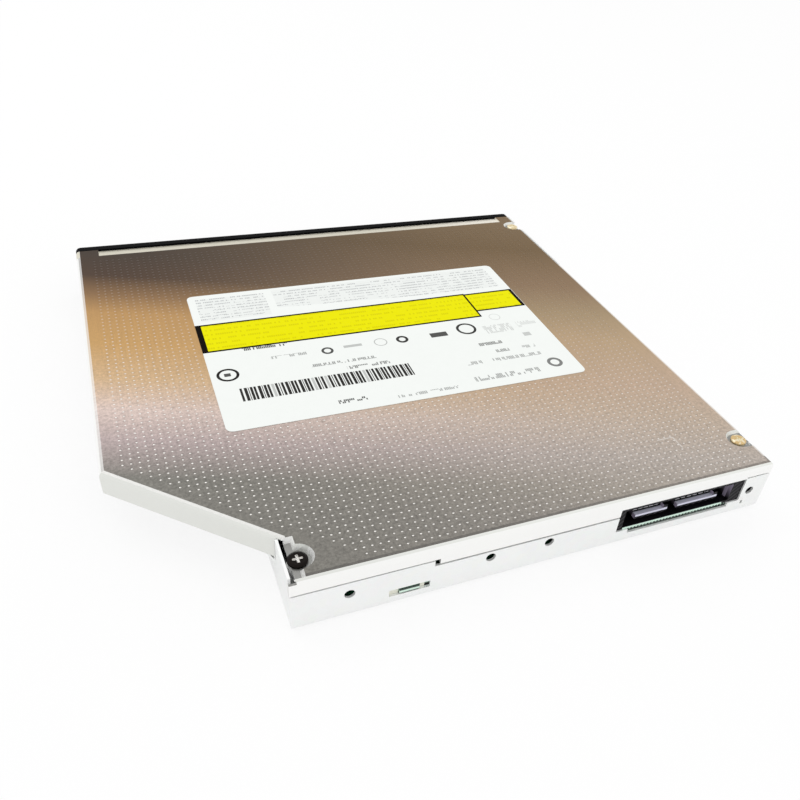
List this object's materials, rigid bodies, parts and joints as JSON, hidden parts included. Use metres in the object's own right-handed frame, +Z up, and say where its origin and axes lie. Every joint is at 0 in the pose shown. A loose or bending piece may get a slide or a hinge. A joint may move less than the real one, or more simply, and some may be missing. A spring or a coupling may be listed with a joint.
{
  "type": "laptop optical drive",
  "caption": "Slim laptop optical drive: folded steel case with a cut-away rear corner, sliding disc tray with spindle and diagonal pickup traverse, rear signal and power socket.",
  "frame": {"origin": "on the surface that the drive lies on, at the middle of its whole width and depth, front panel included", "axes": "+X to the right seen from the front panel, towards the cut-away corner; +Y to the rear wall with the connector; +Z up, towards the labelled cover"},
  "size_m": [0.128, 0.129, 0.0127],
  "materials": {
    "cover_steel": "embossed, lightly tinted rolled steel",
    "label_print": "white printed film",
    "zinc_steel": "zinc plated sheet",
    "bright_steel": "bright",
    "black_screw": "black oxide",
    "gold_screw": "yellow passivated",
    "black_plastic": "fine satin",
    "white_acetal": "natural",
    "ivory_socket": "moulded",
    "board_green": "solder mask",
    "cable_film": "amber film",
    "grey_rubber": "soft",
    "cast_zinc": "as cast",
    "lens_glass": "coated",
    "lamp_lens": "translucent green",
    "copper": "enamelled winding"
  },
  "bodies": {
    "chassis": {"top_cover": "cover_steel", "label": "label_print", "base_chassis": "zinc_steel", "cover_screw_rear_right": "black_screw", "cover_screw_rear_left": "gold_screw", "cover_screw_front_left": "gold_screw", "guide_left": "white_acetal", "guide_right": "white_acetal", "main_board": "board_green", "board_screw_left": "bright_steel", "board_screw_right": "bright_steel", "controller_chip": "black_plastic", "memory_chip": "black_plastic", "motor_driver_chip": "black_plastic", "signal_power_connector": "black_plastic", "board_flex_socket": "ivory_socket", "latch_post": "bright_steel", "flex_cable": "cable_film"},
    "left_rail": {"rail_left": "bright_steel"},
    "right_rail": {"rail_right": "bright_steel"},
    "tray": {"disc_tray": "black_plastic", "bezel": "black_plastic", "lamp_lens": "lamp_lens", "tray_bottom_plate": "zinc_steel", "traverse_frame": "zinc_steel", "guide_rod_main": "bright_steel", "guide_rod_side": "bright_steel", "sled_motor": "bright_steel", "spindle_stator": "zinc_steel", "tray_board": "board_green", "tray_board_chip": "black_plastic", "tray_flex_socket": "ivory_socket", "front_board": "board_green", "eject_switch": "black_plastic", "latch_base": "black_plastic", "latch_solenoid": "copper", "damper_1": "grey_rubber", "damper_2": "grey_rubber", "damper_3": "grey_rubber", "damper_screw_1": "bright_steel", "damper_screw_2": "bright_steel", "damper_screw_3": "bright_steel"},
    "spindle": {"spindle_rotor": "bright_steel", "turntable": "black_plastic", "turntable_ring": "grey_rubber"},
    "claw_one": {"hub_claw_1": "white_acetal"},
    "claw_two": {"hub_claw_2": "white_acetal"},
    "claw_three": {"hub_claw_3": "white_acetal"},
    "sled": {"pickup_sled": "cast_zinc"},
    "lens": {"lens_holder": "black_plastic", "objective_lens": "lens_glass"},
    "drive_screw": {"lead_screw": "bright_steel"},
    "button": {"eject_button": "black_plastic"},
    "lever": {"latch_lever": "white_acetal"}
  },
  "joints": [
    {"name": "tray_slide", "type": "slide", "parent": "chassis", "child": "tray", "axis": [0, -1, 0], "range_m": [0, 0.125], "deforming": ["flex_cable"]},
    {"name": "left_rail_slide", "type": "slide", "parent": "chassis", "child": "left_rail", "axis": [0, -1, 0], "range_m": [0, 0.063]},
    {"name": "right_rail_slide", "type": "slide", "parent": "chassis", "child": "right_rail", "axis": [0, -1, 0], "range_m": [0, 0.063]},
    {"name": "spindle_spin", "type": "hinge", "parent": "tray", "child": "spindle", "pos_m": [0, 0.0015, 0.0084], "axis": [0, 0, 1], "continuous": true},
    {"name": "claw_one_press", "type": "slide", "parent": "spindle", "child": "claw_one", "axis": [0, -1, 0], "range_m": [0, 0.0006], "stiffness_N_per_m": 200},
    {"name": "claw_two_press", "type": "slide", "parent": "spindle", "child": "claw_two", "axis": [0.866, 0.5, 0], "range_m": [0, 0.0006], "stiffness_N_per_m": 200},
    {"name": "claw_three_press", "type": "slide", "parent": "spindle", "child": "claw_three", "axis": [-0.866, 0.5, 0], "range_m": [0, 0.0006], "stiffness_N_per_m": 200},
    {"name": "sled_slide", "type": "slide", "parent": "tray", "child": "sled", "axis": [-0.7071, -0.7071, 0], "range_m": [0, 0.033]},
    {"name": "lead_screw_turn", "type": "hinge", "parent": "tray", "child": "drive_screw", "pos_m": [0.0152, -0.0137, 0.0054], "axis": [-0.7071, -0.7071, 0], "range_deg": [-5, 3965]},
    {"name": "lens_focus", "type": "slide", "parent": "sled", "child": "lens", "axis": [0, 0, 1], "range_m": [-0.0004, 0.0004], "stiffness_N_per_m": 100},
    {"name": "button_press", "type": "slide", "parent": "tray", "child": "button", "axis": [0, 1, 0], "range_m": [0, 0.0008], "stiffness_N_per_m": 300},
    {"name": "latch_turn", "type": "hinge", "parent": "tray", "child": "lever", "pos_m": [0.0285, -0.047, 0.003], "axis": [0, 0, -1], "range_deg": [0, 12]}
  ],
  "couplings": [
    {"joint": "left_rail_slide", "follows": "tray_slide", "ratio": 0.5},
    {"joint": "right_rail_slide", "follows": "tray_slide", "ratio": 0.5},
    {"joint": "lead_screw_turn", "follows": "sled_slide", "rad_per_m": 2094.4}
  ]
}
